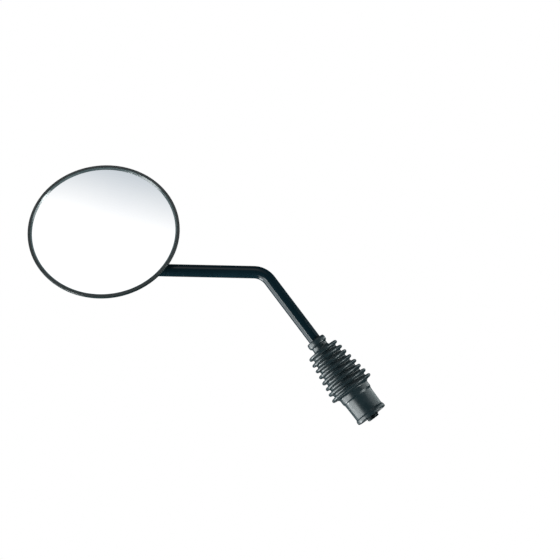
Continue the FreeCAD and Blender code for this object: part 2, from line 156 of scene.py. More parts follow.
CAMERA_RIGHT = Vector((0.7962, 0.0620, -0.6019))
CAMERA_UP = Vector((0.6045, -0.0409, 0.7955))
CAMERA_DISTANCE = 5.0
CAMERA_LENS = 438.4
AIM_RIGHT = 0.01185          # from the rod's bend to the middle of the picture
AIM_UP = -0.00555
PANEL = Vector((0.470, -0.549, 0.692))       # the white panel that the glass shows
PANEL_EDGE = Vector((0.586, 0.779, 0.221))   # the side on which it falls off to grey


def camera_axes():
    back = CAMERA_RIGHT.cross(CAMERA_UP).normalized()
    right = CAMERA_UP.cross(back).normalized()
    return right, back.cross(right), back


def make_camera():
    right, up, back = camera_axes()
    corner = Vector(JOINTS["head_turn"]["pos_m"])
    place = corner + right * AIM_RIGHT + up * AIM_UP + back * CAMERA_DISTANCE
    data = bpy.data.cameras.new("camera")
    data.lens = CAMERA_LENS
    camera = bpy.data.objects.new("camera", data)
    bpy.context.scene.collection.objects.link(camera)
    turn = Matrix((right, up, back)).transposed().to_4x4()
    camera.matrix_world = Matrix.Translation(place) @ turn
    bpy.context.scene.camera = camera


def softbox(name, towards, distance, width, height, radiance, colour, lit_joint="head_turn"):
    """A soft area light that shines on a joint's place from a direction given in the camera's axes."""
    right, up, back = camera_axes()
    lit = Vector(JOINTS[lit_joint]["pos_m"])
    direction = (right * towards[0] + up * towards[1] + back * towards[2]).normalized()
    data = bpy.data.lights.new(name, "AREA")
    data.shape = "RECTANGLE"
    data.size = width
    data.size_y = height
    data.energy = radiance * math.pi * width * height
    data.color = colour
    light = bpy.data.objects.new(name, data)
    light.matrix_world = Matrix.Translation(lit + direction * distance) @ (
        direction.to_track_quat("Z", "Y").to_matrix().to_4x4())
    light.visible_camera = False
    bpy.context.scene.collection.objects.link(light)


def make_world():
    """White to look at. What lights the object is a dim studio with one white panel in front."""
    bpy.context.scene.view_settings.view_transform = "Standard"
    world = bpy.data.worlds.new("studio")
    bpy.context.scene.world = world
    world.use_nodes = True
    nodes, links = world.node_tree.nodes, world.node_tree.links
    nodes.clear()
    where = nodes.new("ShaderNodeTexCoord").outputs["Generated"]

    def towards(direction, low, high, smooth="SMOOTHSTEP"):
        dot = nodes.new("ShaderNodeVectorMath")
        dot.operation = "DOT_PRODUCT"
        dot.inputs[1].default_value = direction
        links.new(where, dot.inputs[0])
        ranged = nodes.new("ShaderNodeMapRange")
        ranged.interpolation_type = smooth
        ranged.inputs["From Min"].default_value = low
        ranged.inputs["From Max"].default_value = high
        links.new(dot.outputs["Value"], ranged.inputs["Value"])
        return ranged.outputs["Result"]

    def blend(factor, one, other):
        mix = nodes.new("ShaderNodeMix")
        mix.data_type = "RGBA"
        links.new(factor, mix.inputs["Factor"])
        for socket, colour in ((mix.inputs["A"], one), (mix.inputs["B"], other)):
            if isinstance(colour, tuple):
                socket.default_value = (*colour, 1.0)
            else:
                links.new(colour, socket)
        return mix.outputs["Result"]

    floor, ceiling = (0.010, 0.032, 0.040), (0.040, 0.078, 0.092)
    white, grey = (1.12, 1.12, 1.12), (0.575, 0.625, 0.67)
    glow = (0.30, 0.32, 0.33)
    room = blend(towards((0, 0, 1), -1.0, 1.0), floor, ceiling)
    panel = blend(towards(PANEL_EDGE, 0.018, 0.10, "LINEAR"), white, grey)
    halo = blend(towards(PANEL, 0.80, 0.965), room, glow)
    lit = blend(towards(PANEL, 0.965, 0.985), halo, panel)
    studio = nodes.new("ShaderNodeBackground")
    links.new(lit, studio.inputs["Color"])
    seen = nodes.new("ShaderNodeBackground")
    seen.inputs["Color"].default_value = (1.0, 1.0, 1.0, 1.0)
    choose = nodes.new("ShaderNodeMixShader")
    links.new(nodes.new("ShaderNodeLightPath").outputs["Is Camera Ray"], choose.inputs["Fac"])
    links.new(studio.outputs["Background"], choose.inputs[1])
    links.new(seen.outputs["Background"], choose.inputs[2])
    links.new(choose.outputs["Shader"], nodes.new("ShaderNodeOutputWorld").inputs["Surface"])


# ---- mesh tools ----------------------------------------------------------------------------


def finish_mesh(name, mesh, sharp_deg=35.0):
    """A linked object whose faces are smooth except across sharp edges."""
    for polygon in mesh.polygons:
        polygon.use_smooth = True
    mesh.set_sharp_from_angle(angle=math.radians(sharp_deg))
    piece = bpy.data.objects.new(name, mesh)
    bpy.context.scene.collection.objects.link(piece)
    return piece


def arc(a, middle, b, steps):
    """Points of the arc from a over middle to b, without a itself."""
    (ax, ay), (mx, my), (bx, by) = a, middle, b
    d = 2 * (ax * (my - by) + mx * (by - ay) + bx * (ay - my))
    if abs(d) < 1e-9:
        return [b]
    squares = [x * x + y * y for x, y in (a, middle, b)]
    cx = (squares[0] * (my - by) + squares[1] * (by - ay) + squares[2] * (ay - my)) / d
    cy = (squares[0] * (bx - mx) + squares[1] * (ax - bx) + squares[2] * (mx - ax)) / d
    radius = math.hypot(ax - cx, ay - cy)
    angles = [math.atan2(y - cy, x - cx) for x, y in (a, middle, b)]
    turn = 2 * math.pi
    to_middle = (angles[1] - angles[0]) % turn
    to_end = (angles[2] - angles[0]) % turn
    sweep = to_end if to_middle < to_end else to_end - turn
    stops = [angles[0] + sweep * i / steps for i in range(1, steps + 1)]
    return [(cx + radius * math.cos(a), cy + radius * math.sin(a)) for a in stops]


def soft(points, steps=4):
    """A closed outline whose corners are rounded. A point is (x, y) or (x, y, length cut from each side)."""
    result = []
    count = len(points)
    for i, point in enumerate(points):
        here = Vector(point[:2])
        if len(point) < 3:
            result.append(tuple(here))
            continue
        before = Vector(points[i - 1][:2])
        after = Vector(points[(i + 1) % count][:2])
        cut = point[2]
        start = here + (before - here).normalized() * cut
        end = here + (after - here).normalized() * cut
        for k in range(steps + 1):
            t = k / steps
            result.append(tuple(start * (1 - t) ** 2 + here * (2 * t * (1 - t)) + end * t ** 2))
    return result


def turn_outline(outline, turns, shift=None):
    """Vertices and faces of a closed (radius, height) outline turned about Z.
    shift(angle, r, z) gives how far a point moves in radius and height."""
    vertices, rings = [], []
    for r, z in outline:
        if r < 1e-6:
            rings.append([len(vertices)] * turns)
            vertices.append((0.0, 0.0, z))
            continue
        rings.append(list(range(len(vertices), len(vertices) + turns)))
        for i in range(turns):
            angle = 2 * math.pi * i / turns
            dr, dz = shift(angle, r, z) if shift else (0.0, 0.0)
            vertices.append(((r + dr) * math.cos(angle), (r + dr) * math.sin(angle), z + dz))
    faces = []
    for low, high in zip(rings, rings[1:] + rings[:1]):
        for i in range(turns):
            j = (i + 1) % turns
            corners = [low[i], low[j], high[j], high[i]]
            face = [c for k, c in enumerate(corners) if c not in corners[:k]]
            if len(face) > 2:
                faces.append(face)
    return vertices, faces


def mesh_from(name, vertices, faces, place=None):
    """A closed mesh in metres, its faces turned outwards."""
    mesh = bpy.data.meshes.new(name)
    mesh.from_pydata([tuple(Vector(v) * MM) for v in vertices], [], faces)
    work = bmesh.new()
    work.from_mesh(mesh)
    bmesh.ops.recalc_face_normals(work, faces=work.faces)
    work.to_mesh(mesh)
    work.free()
    if place is not None:
        mesh.transform(place)
    mesh.update()
    return mesh


def supported(outline, reach=0.25):
    """The outline with a point near each end of its longer runs, so that flats shade flat."""
    result = []
    for here, following in zip(outline, outline[1:] + outline[:1]):
        result.append(here)
        a, b = Vector(here), Vector(following)
        length = (b - a).length
        if length > 4 * reach:
            result += [tuple(a.lerp(b, reach / length)), tuple(b.lerp(a, reach / length))]
    return result


def lathe(name, outline, turns, place=None, shift=None, sharp_deg=35.0):
    """A finished piece from an outline turned about Z, its flats kept flat."""
    mesh = mesh_from(name, *turn_outline(supported(outline), turns, shift), place)
    return finish_mesh(name, mesh, sharp_deg)


def rounded_ring(half_x, half_y, corner, corner_steps=8, side_steps=14):
    """Points round a rectangle with rounded corners, centred on the origin."""
    points = []
    for quarter, (sx, sy) in enumerate([(1, 1), (-1, 1), (-1, -1), (1, -1)]):
        cx, cy = sx * (half_x - corner), sy * (half_y - corner)
        for k in range(corner_steps + 1):
            angle = math.pi / 2 * (quarter + k / corner_steps)
            points.append((cx + corner * math.cos(angle), cy + corner * math.sin(angle)))
        end = points[-1]
        following = [(-1, 1), (-1, -1), (1, -1), (1, 1)][quarter]
        nx, ny = following[0] * (half_x - corner), following[1] * (half_y - corner)
        angle = math.pi / 2 * (quarter + 1)
        start = (nx + corner * math.cos(angle), ny + corner * math.sin(angle))
        for k in range(1, side_steps):
            t = k / side_steps
            points.append((end[0] + (start[0] - end[0]) * t, end[1] + (start[1] - end[1]) * t))
    return points


def slab(name, x_range, y_range, sides, corner, crown=None):
    """A block with rounded upright corners. sides are (inset, height) pairs from its foot to its face,
    and crown(y) is added to the height, in full at the face and not at all at the foot."""
    mid_x, mid_y = sum(x_range) / 2, sum(y_range) / 2
    half_x, half_y = (x_range[1] - x_range[0]) / 2, (y_range[1] - y_range[0]) / 2
    foot, face = sides[0][1], sides[-1][1]
    last_inset = sides[-1][0]
    core = 0.3
    inward = 12
    layers = list(sides) + [
        (last_inset + (half_y - core - last_inset) * k / inward, face) for k in range(1, inward + 1)
    ]
    vertices, faces = [], []
    for inset, z in layers:
        share = (z - foot) / (face - foot)
        ring = rounded_ring(half_x - inset, half_y - inset, max(corner - inset, 0.2))
        for x, y in ring:
            lift = crown(mid_y + y) * share if crown else 0.0
            vertices.append((mid_x + x, mid_y + y, z + lift))
    count = len(vertices) // len(layers)
    for layer in range(len(layers) - 1):
        for i in range(count):
            j = (i + 1) % count
            a, b = layer * count, (layer + 1) * count
            faces.append([a + i, a + j, b + j, b + i])
    faces.append(list(range(count)))
    top = (len(layers) - 1) * count
    faces.append([top + i for i in range(count)])
    return mesh_from(name, vertices, faces)


def rod_along_x(r, x0, x1, turns=96):
    """A cutter about the arm's axis, in the head's frame."""
    vertices, faces = turn_outline([(0, x0), (r, x0), (r, x1), (0, x1)], turns)
    return mesh_from("cutter", [(z, CENTRE_OFFSET + x, -ROD_DEPTH + y) for x, y, z in vertices], faces)


def combine(mesh, others, operation):
    """The mesh after a boolean with each of the other meshes."""
    holder = bpy.data.objects.new("holder", mesh)
    bpy.context.scene.collection.objects.link(holder)
    for other in others:
        tool = bpy.data.objects.new("tool", other)
        bpy.context.scene.collection.objects.link(tool)
        modifier = holder.modifiers.new("combine", "BOOLEAN")
        modifier.operation = operation
        modifier.solver = "EXACT"
        modifier.object = tool
        graph = bpy.context.evaluated_depsgraph_get()
        result = bpy.data.meshes.new_from_object(holder.evaluated_get(graph))
        holder.modifiers.clear()
        holder.data = result
        bpy.data.objects.remove(tool)
    final = holder.data
    bpy.data.objects.remove(holder)
    return final


def head_matrix():
    """From the head's frame, in metres, to the row's."""
    joint = JOINTS["head_turn"]
    along = Vector(joint["axis"]).normalized()
    across = Vector((-along.z, 0.0, along.x))
    roll = math.radians(HEAD_ROLL_DEG)
    down = across * math.cos(roll) + Vector((0.0, -math.sin(roll), 0.0))
    out = along.cross(down)
    centre = Vector(joint["pos_m"]) + (along * CENTRE_ALONG - down * CENTRE_OFFSET + out * ROD_DEPTH) * MM
    return Matrix.Translation(centre) @ Matrix((along, down, out)).transposed().to_4x4()


HEAD = head_matrix()


def screw_places():
    y = CENTRE_OFFSET + SCREW_OFFSET
    return [(PLATE_X - SCREW_SPACING / 2, y), (PLATE_X + SCREW_SPACING / 2, y)]


# ---- materials -----------------------------------------------------------------------------


class Look:
    """A material under construction: a Principled shader and the textures that feed it."""

    def __init__(self, name, colour, roughness, metallic=0.0):
        self.material = bpy.data.materials.new(name)
        self.material.use_nodes = True
        self.nodes = self.material.node_tree.nodes
        self.links = self.material.node_tree.links
        self.shader = self.nodes["Principled BSDF"]
        self.shader.inputs["Base Color"].default_value = (*colour, 1.0)
        self.shader.inputs["Roughness"].default_value = roughness
        self.shader.inputs["Metallic"].default_value = metallic
        self.place = self.nodes.new("ShaderNodeTexCoord").outputs["Object"]
        self.height = None

    def set(self, **values):
        for name, value in values.items():
            self.shader.inputs[name.replace("_", " ")].default_value = value
        return self

    def noise(self, size_mm, detail=4.0):
        texture = self.nodes.new("ShaderNodeTexNoise")
        texture.inputs["Scale"].default_value = 1.0 / (size_mm * MM)
        texture.inputs["Detail"].default_value = detail
        self.links.new(self.place, texture.inputs["Vector"])
        return texture.outputs["Fac"]

    def cells(self, size_mm):
        texture = self.nodes.new("ShaderNodeTexVoronoi")
        texture.inputs["Scale"].default_value = 1.0 / (size_mm * MM)
        self.links.new(self.place, texture.inputs["Vector"])
        return texture.outputs["Distance"]

    def spread(self, value, low, high, to_low, to_high):
        ranged = self.nodes.new("ShaderNodeMapRange")
        ranged.inputs["From Min"].default_value = low
        ranged.inputs["From Max"].default_value = high
        ranged.inputs["To Min"].default_value = to_low
        ranged.inputs["To Max"].default_value = to_high
        self.links.new(value, ranged.inputs["Value"])
        return ranged.outputs["Result"]

    def rough(self, value, low, high, to_low, to_high):
        self.links.new(self.spread(value, low, high, to_low, to_high), self.shader.inputs["Roughness"])
        return self

    def tint(self, value, low, high, colour_low, colour_high):
        ramp = self.nodes.new("ShaderNodeValToRGB")
        ramp.color_ramp.elements[0].position = low
        ramp.color_ramp.elements[0].color = (*colour_low, 1.0)
        ramp.color_ramp.elements[1].position = high
        ramp.color_ramp.elements[1].color = (*colour_high, 1.0)
        self.links.new(value, ramp.inputs["Fac"])
        self.links.new(ramp.outputs["Color"], self.shader.inputs["Base Color"])
        return self

    def bump(self, value, depth_mm, strength):
        node = self.nodes.new("ShaderNodeBump")
        node.inputs["Strength"].default_value = strength
        node.inputs["Distance"].default_value = depth_mm * MM
        self.links.new(value, node.inputs["Height"])
        if self.height is not None:
            self.links.new(self.height, node.inputs["Normal"])
        self.height = node.outputs["Normal"]
        self.links.new(self.height, self.shader.inputs["Normal"])
        return self


def rod_paint():
    """Gloss black paint over steel, with the faint ripple of a sprayed coat."""
    look = Look("rod_paint", (0.004, 0.016, 0.023), 0.2)
    look.set(Specular_IOR_Level=0.28)
    look.tint(look.noise(30.0), 0.3, 0.7, (0.003, 0.011, 0.016), (0.0055, 0.017, 0.024))
    look.rough(look.noise(6.0, 4.0), 0.3, 0.7, 0.13, 0.20)
    look.bump(look.noise(2.5, 2.0), 0.02, 0.3)
    return look.material


def boot_rubber():
    """Moulded rubber: satin, with a grey bloom in patches and a fine matt grain."""
    look = Look("boot_rubber", (0.010, 0.022, 0.027), 0.45)
    look.set(Sheen_Weight=0.08, Sheen_Roughness=0.4, Specular_IOR_Level=0.65)
    look.tint(look.noise(9.0, 6.0), 0.3, 0.7, (0.005, 0.014, 0.018), (0.011, 0.024, 0.029))
    look.rough(look.noise(4.0, 3.0), 0.3, 0.7, 0.33, 0.42)
    look.bump(look.noise(0.35, 2.0), 0.008, 0.25)
    look.bump(look.noise(5.0, 2.0), 0.05, 0.25)
    return look.material


def grained_plastic():
    """Black plastic with a moulded leather grain and the worn sheen on its crests."""
    look = Look("grained_plastic", (0.03, 0.038, 0.042), 0.5)
    grain = look.cells(0.9)
    look.tint(look.noise(1.1, 5.0), 0.40, 0.66, (0.020, 0.027, 0.031), (0.055, 0.066, 0.071))
    look.rough(look.noise(0.8, 4.0), 0.35, 0.7, 0.38, 0.6)
    look.bump(grain, 0.10, 0.6)
    look.bump(look.noise(0.5, 4.0), 0.06, 0.6)
    return look.material


def bezel_plastic():
    look = Look("bezel_plastic", (0.014, 0.024, 0.025), 0.25)
    look.set(Specular_IOR_Level=0.45)
    look.tint(look.noise(14.0), 0.3, 0.7, (0.011, 0.020, 0.021), (0.018, 0.030, 0.031))
    look.rough(look.noise(3.0, 5.0), 0.3, 0.7, 0.18, 0.30)
    look.bump(look.noise(0.7, 3.0), 0.012, 0.3)
    return look.material


def lip_painted_reflection():
    """The rim's inner slope, glossier than its front and painted a lighter grey: a painted reflection that
    stands in for the light the slope catches.
    """
    look = Look("lip_painted_reflection", (0.12, 0.15, 0.155), 0.15)
    look.set(Specular_IOR_Level=1.0)
    look.tint(look.noise(10.0), 0.3, 0.7, (0.10, 0.13, 0.135), (0.15, 0.185, 0.19))
    look.rough(look.noise(3.0, 5.0), 0.3, 0.7, 0.12, 0.22)
    look.bump(look.noise(0.7, 3.0), 0.008, 0.3)
    return look.material


def silvered_glass():
    """The silvering seen through clear glass, with a trace of haze from handling."""
    look = Look("silvered_glass", (0.93, 0.94, 0.95), 0.02, 1.0)
    look.set(Coat_Weight=0.6, Coat_Roughness=0.01, Coat_IOR=1.5)
    look.tint(look.noise(60.0), 0.3, 0.7, (0.92, 0.93, 0.945), (0.95, 0.955, 0.96))
    look.rough(look.noise(22.0, 6.0), 0.35, 0.75, 0.008, 0.035)
    return look.material


def plated_steel(name, colour, roughness):
    look = Look(name, colour, roughness, 1.0)
    darker = tuple(c * 0.8 for c in colour)
    look.tint(look.noise(3.0, 6.0), 0.35, 0.7, darker, colour)
    look.rough(look.noise(1.2, 5.0), 0.3, 0.7, roughness * 0.8, roughness * 1.3)
    look.bump(look.noise(0.4, 3.0), 0.01, 0.4)
    return look.material


def moulded_plastic(name, colour, roughness):
    look = Look(name, colour, roughness)
    darker = tuple(c * 0.88 for c in colour)
    look.tint(look.noise(5.0, 5.0), 0.3, 0.7, darker, colour)
    look.rough(look.noise(2.0, 4.0), 0.3, 0.7, roughness * 0.85, roughness * 1.2)
    look.bump(look.noise(0.6, 3.0), 0.02, 0.4)
    return look.material


def foam():
    look = Look("foam", (0.10, 0.10, 0.105), 0.9)
    look.tint(look.cells(0.8), 0.1, 0.6, (0.05, 0.05, 0.055), (0.13, 0.13, 0.135))
    look.bump(look.cells(0.8), 0.3, 0.8)
    return look.material


# ---- lower end: stud, boot, rod ------------------------------------------------------------


def stud_mesh():
    """The stud with a real helical thread up to its undercut, and a chamfered end."""
    turns, rows_per_pitch = 72, 12
    rows = int((STUD_TOP_Z - STUD_END_Z) / THREAD_PITCH * rows_per_pitch)
    vertices, faces = [], []
    for row in range(rows + 1):
        z = STUD_END_Z + (STUD_TOP_Z - STUD_END_Z) * row / rows
        for i in range(turns):
            angle = 2 * math.pi * i / turns
            phase = (z / THREAD_PITCH - i / turns) % 1.0
            flank = min(max((abs(phase - 0.5) * 2 - CREST_SHARE) / FLANK_SHARE, 0.0), 1.0)
            r = min(STUD_R - THREAD_DEPTH * flank, STUD_R - STUD_CHAMFER + (z - STUD_END_Z))
            vertices.append((r * math.cos(angle), r * math.sin(angle), z))
    for row in range(rows):
        for i in range(turns):
            j = (i + 1) % turns
            a, b = row * turns, (row + 1) * turns
            faces.append([a + i, a + j, b + j, b + i])
    faces.append(list(range(turns)))
    faces.append([rows * turns + i for i in range(turns)])
    return mesh_from("threaded_stud_thread", vertices, faces)


def make_stud(materials):
    stud = finish_mesh("stud_with_thread", stud_mesh(), 50.0)
    stud.data.materials.append(materials["black_steel"])
    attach(stud, "base")
    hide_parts("threaded_stud")


def fin(k):
    """Crest radius and height of the boot's k-th fin, counted from the lowest."""
    share = k / (FIN_COUNT - 1)
    return FIN_LOW_R + share * (FIN_HIGH_R - FIN_LOW_R), FIN_LOW_Z + k * FIN_PITCH


def boot_outline():
    """The boot's section: up the outside from the mouth, over the neck, and down the inside."""
    end = BOOT_END_Z
    collar_low, collar_top = COLLAR_Z
    skirt = [
        (MOUTH_R, end, 0.5), (BEAD_R - 0.4, end, 0.9), (BEAD_R, end + 1.6, 1.1),
        (BEAD_R - 0.35, end + 3.1, 0.6), (SKIRT_LOW_R + 0.05, end + 3.5, 0.5), (SKIRT_LOW_R, end + 4.9),
        (SKIRT_LOW_R + 0.1, end + 11.1),
        (SKIRT_TOP_R, collar_low - 0.6, 0.6), (COLLAR_R - 0.15, collar_low, 0.3),
        (COLLAR_R, collar_low + 0.5, 0.3), (COLLAR_R, collar_top, 0.4),
    ]
    t = FIN_HALF_T
    r, z = fin(0)
    outline = soft(skirt + [(r - 3.6, z - t)])[:-1]
    outline += arc(outline[-1], (r - 4.0, z - t - 0.7), (r - 3.0, z - t), 4)
    for k in range(FIN_COUNT):
        r, z = fin(k)
        outline.append((r - t, z - t))
        outline += arc((r - t, z - t), (r, z), (r - t, z + t), 12)
        if k + 1 == FIN_COUNT:
            break
        r_next, z_next = fin(k + 1)
        gap = FIN_PITCH / 2 - t
        root = (r + r_next) / 2 - FIN_DEPTH
        outline.append((root + gap, z + t))
        outline += arc((root + gap, z + t), (root, z + FIN_PITCH / 2), (root + gap, z_next - t), 12)
    top_r, top_z = fin(FIN_COUNT - 1)
    low = top_z + t
    outline.append((NECK_OUT_R + 1.3, low))
    outline += arc(outline[-1], (NECK_OUT_R + 0.35, low + 0.7), (NECK_OUT_R, low + 2.0), 6)
    inner = FIN_DEPTH + BOOT_WALL
    wide_r, wide_z = fin(1)
    lining_ends = [(top_r - inner + 0.3, top_z - 0.6), (wide_r - inner, wide_z - 1.0)]
    lining = [
        tuple(a + (b - a) * k / LINING_STEPS for a, b in zip(*lining_ends)) for k in range(LINING_STEPS + 1)
    ]
    top = BOOT_TOP_Z
    neck = [
        (NECK_OUT_R, top - 5.0, 0.5), (NECK_BEAD_R - 0.35, top - 4.2, 0.5), (NECK_BEAD_R, top - 2.3, 1.3),
        (NECK_BEAD_R - 0.45, top - 0.3, 0.5), (NECK_BEAD_R - 1.1, top, 0.3), (ROD_R + 0.05, top, 0.1),
        (ROD_R + 0.05, top_z + 2.6),
    ]
    room_low, room_top = FLANGE_ROOM_Z
    socket_room = [
        (THROAT_R, THROAT_TOP_Z), (THROAT_R, room_top), (FLANGE_ROOM_R, room_top), (FLANGE_ROOM_R, room_low),
        (BORE_R, room_low, 0.2), (BORE_R, BORE_END_Z, 0.6),
    ]
    outline += soft(neck + lining + socket_room + [outline[0]])[:-1]
    return outline


def boot_shift(angle, r, z):
    """Small unevenness of moulded rubber: fins that wave a little, and the mould's parting line."""
    k = round((z - FIN_LOW_Z) / FIN_PITCH)
    k = min(max(k, 0), FIN_COUNT - 1)
    crest, height = fin(k)
    reach = max(0.0, 1.0 - (crest - r) / FIN_DEPTH) if abs(z - height) < FIN_PITCH / 2 else 0.0
    reach *= reach
    dz = reach * (0.22 * math.sin(2 * angle + 1.7 * k) + 0.12 * math.sin(3 * angle + 2.9 * k + 1.0))
    dr = reach * 0.14 * math.sin(2 * angle + 2.3 * k + 0.5)
    if z < SKIRT_LIMIT_Z:
        inside_r = MOUTH_R + 0.5
    elif z > NECK_LIMIT_Z:
        inside_r = NECK_OUT_R
    else:
        inside_r = crest - FIN_DEPTH - 0.3
    from_seam = (angle - SEAM_ANGLE) % math.pi
    from_seam = min(from_seam, math.pi - from_seam) * r
    if r > inside_r:
        dr += SEAM_H * max(0.0, 1.0 - (from_seam / SEAM_HALF_W) ** 2)
    return dr, dz


def make_boot(materials):
    boot = lathe("boot", boot_outline(), 256, shift=boot_shift, sharp_deg=60.0)
    boot.data.materials.append(materials["rubber"])
    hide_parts("rubber_boot")
    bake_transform(boot)


def rod_path():
    """(point, direction, radius) along the rod's axis, from the ball to the end of the arm."""
    corner_z = JOINTS["head_turn"]["pos_m"][2] / MM
    turn = math.radians(BEND_DEG)
    tangent = BEND_R * math.tan(turn / 2)
    up = Vector((0, 0, 1))
    along = Vector((-math.sin(turn), 0, math.cos(turn)))
    stations = []
    for z, r in [
        (SPIGOT_Z, SPIGOT_R), (BALL_TOP_Z, SPIGOT_R), (BALL_TOP_Z, NECK_R), (NECK_TOP_Z, NECK_R),
        (SHOULDER_Z, ROD_R - 0.15), (SHOULDER_Z + 0.3, ROD_R),
    ]:
        stations.append((Vector((0, 0, z)), up, r))
    start = corner_z - tangent
    for k in range(1, 9):
        stations.append((Vector((0, 0, SHOULDER_Z + (start - SHOULDER_Z) * k / 8)), up, ROD_R))
    steps = 28
    for k in range(1, steps + 1):
        a = turn * k / steps
        point = Vector((-BEND_R * (1 - math.cos(a)), 0, start + BEND_R * math.sin(a)))
        stations.append((point, Vector((-math.sin(a), 0, math.cos(a))), ROD_R))
    corner = Vector((0, 0, corner_z))
    for k in range(1, 13):
        s = tangent + (ARM_LENGTH - ROD_CHAMFER - tangent) * k / 12
        stations.append((corner + along * s, along, ROD_R))
    for s, r in [(0.12, 0.04), (0.5, 0.3), (0.72, 0.55), (0.8, 0.9)]:
        stations.append((corner + along * (ARM_LENGTH - ROD_CHAMFER + s), along, ROD_R - r))
    return stations


def make_rod(materials):
    turns = 96
    side = Vector((0, 1, 0))
    vertices, faces = [], []
    stations = rod_path()
    for point, direction, r in stations:
        other = direction.cross(side)
        for i in range(turns):
            angle = 2 * math.pi * i / turns
            vertices.append(point + (other * math.cos(angle) + side * math.sin(angle)) * r)
    for row in range(len(stations) - 1):
        for i in range(turns):
            j = (i + 1) % turns
            a, b = row * turns, (row + 1) * turns
            faces.append([a + i, a + j, b + j, b + i])
    faces.append(list(range(turns)))
    faces.append([(len(stations) - 1) * turns + i for i in range(turns)])
    rod = finish_mesh("bent_rod", mesh_from("bent_rod", vertices, faces), 30.0)
    rod.data.materials.append(materials["paint"])
    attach(rod, "stem")
    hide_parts("stem_rod")


# ---- mirror head ---------------------------------------------------------------------------


def make_bezel(materials):
    outline = soft([
        (LIP_R, -LIP_T, 0.08), (LIP_R, -1.08, 0.06), (LIP_R + 1.1, -0.04, 0.22), (DISC_R, 0.0, 0.35),
        (DISC_R, -2.0, 0.9), (55.4, -3.0, 0.3), (54.55, -3.0, 0.15), (54.55, -2.25), (DISC_R - 1.0, -2.25),
        (DISC_R - 1.0, -LIP_T),
    ], 6)
    bezel = lathe("rim_ring", outline, 288, HEAD, sharp_deg=50.0)
    bezel.data.materials.append(materials["bezel"])
    bezel.data.materials.append(materials["lip"])
    to_head = HEAD.inverted()
    # The inner slope takes the second material, whose lighter grey is a painted reflection.
    for polygon in bezel.data.polygons:
        place = to_head @ polygon.center
        if math.hypot(place.x, place.y) < (LIP_R + 1.2) * MM and place.z > -LIP_T * MM:
            polygon.material_index = 1
    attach(bezel, "head")
    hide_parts("rim_bezel")


def sphere_height(r, edge_z):
    """Height of the glass's large sphere at radius r, where it passes edge_z at the glass's edge."""
    return edge_z + math.sqrt(GLASS_CURVE_R ** 2 - r ** 2) - math.sqrt(GLASS_CURVE_R ** 2 - GLASS_R ** 2)


def make_glass(materials):
    count = 24
    edge = 0.25
    radii = [(GLASS_R - edge) * k / count for k in range(count + 1)]
    front = [(r, sphere_height(r, GLASS_EDGE_Z)) for r in radii]
    back = [(r, sphere_height(r, GLASS_EDGE_Z - GLASS_T)) for r in reversed(radii)]
    side = [(GLASS_R, GLASS_EDGE_Z - edge), (GLASS_R, GLASS_EDGE_Z - GLASS_T + edge)]
    glass = lathe("convex_glass", front + side + back, 256, HEAD, sharp_deg=30.0)
    glass.data.materials.append(materials["glass"])
    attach(glass, "head")
    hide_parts("mirror_glass")


def dish_mesh():
    """The housing's bowl: nearly flat back, round shoulder, and the edge that the rim snaps over."""
    back = [(0.0, BACK_Z)] + arc((0.0, BACK_Z), (26.0, BACK_Z + 0.14), (48.5, BACK_Z + 0.5), 14)
    shoulder = arc(back[-1], (52.7, -6.1), (55.0, -3.8), 14)
    rest = soft([
        shoulder[-1], (55.0, -3.05, 0.2), (54.45, -3.05), (54.45, -2.15), (54.95, -2.15), (54.95, -1.4, 0.3),
        (53.8, -1.4, 0.1), (53.8, -3.95), (51.8, -3.95, 0.2), (51.3, FLOOR_Z, 0.3), (0.0, FLOOR_Z),
    ])
    return mesh_from("dish", *turn_outline(back + shoulder + rest[1:], 256))


def rod_room():
    """Cutters for the sleeve's room and, through both ends of the pad, for the rod."""
    half = PAD_LENGTH / 2
    past = 2.0
    return [
        rod_along_x(SLEEVE_ROOM_R, PLATE_X - half + LIP_LENGTH, PLATE_X + half - LIP_LENGTH),
        rod_along_x(ROD_PASS_R, PLATE_X - half - past, PLATE_X + half + past),
    ]


def make_housing(materials):
    """The moulded back with its pad: a low foot, and the block that the rod lies in."""
    x_range = (PLATE_X - PAD_LENGTH / 2, PLATE_X + PAD_LENGTH / 2)
    near = CENTRE_OFFSET - PAD_NEAR
    foot = slab(
        "foot", x_range, (near, CENTRE_OFFSET + PAD_FAR),
        [(0.4, FLOOR_Z - 0.5), (-0.9, BACK_Z), (-0.35, BACK_Z - 0.3), (0.0, BACK_Z - 0.9),
         (0.0, FOOT_TOP + 0.8), (0.12, FOOT_TOP + 0.35), (0.4, FOOT_TOP + 0.1), (0.9, FOOT_TOP)], 3.0)
    block = slab(
        "block", x_range, (near, CENTRE_OFFSET + PLATE_FAR),
        [(0.4, FLOOR_Z - 0.4), (0.0, BACK_Z - 0.9), (0.0, PAD_TOP + 0.5), (0.1, PAD_TOP + 0.2),
         (0.5, PAD_TOP)], 2.5)
    shell = combine(dish_mesh(), [foot, block], "UNION")
    holes = [
        mesh_from("hole", *turn_outline([(0, -14.0), (INSERT_R, -14.0), (INSERT_R, -6.5), (0, -6.5)], 48),
                  Matrix.Translation(Vector((x, y, 0)) * MM))
        for x, y in screw_places()
    ]
    shell = combine(shell, rod_room() + holes, "DIFFERENCE")
    shell.transform(HEAD)
    housing = finish_mesh("grained_back", shell, 32.0)
    housing.data.materials.clear()
    housing.data.materials.append(materials["grain"])
    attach(housing, "head")
    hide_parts("mirror_housing")


def plate_crown(y):
    """Height that the plate's face gains over the rod, away from the housing."""
    hump_height, hump_half_width, fall, fall_from = 1.25, 4.6, 1.9, 3.2
    from_rod = y - CENTRE_OFFSET
    hump = math.exp(-((from_rod + 0.5) / hump_half_width) ** 2)
    edge = max(0.0, (-from_rod - fall_from) / (PLATE_NEAR - fall_from)) ** 2
    return fall * edge - hump_height * hump


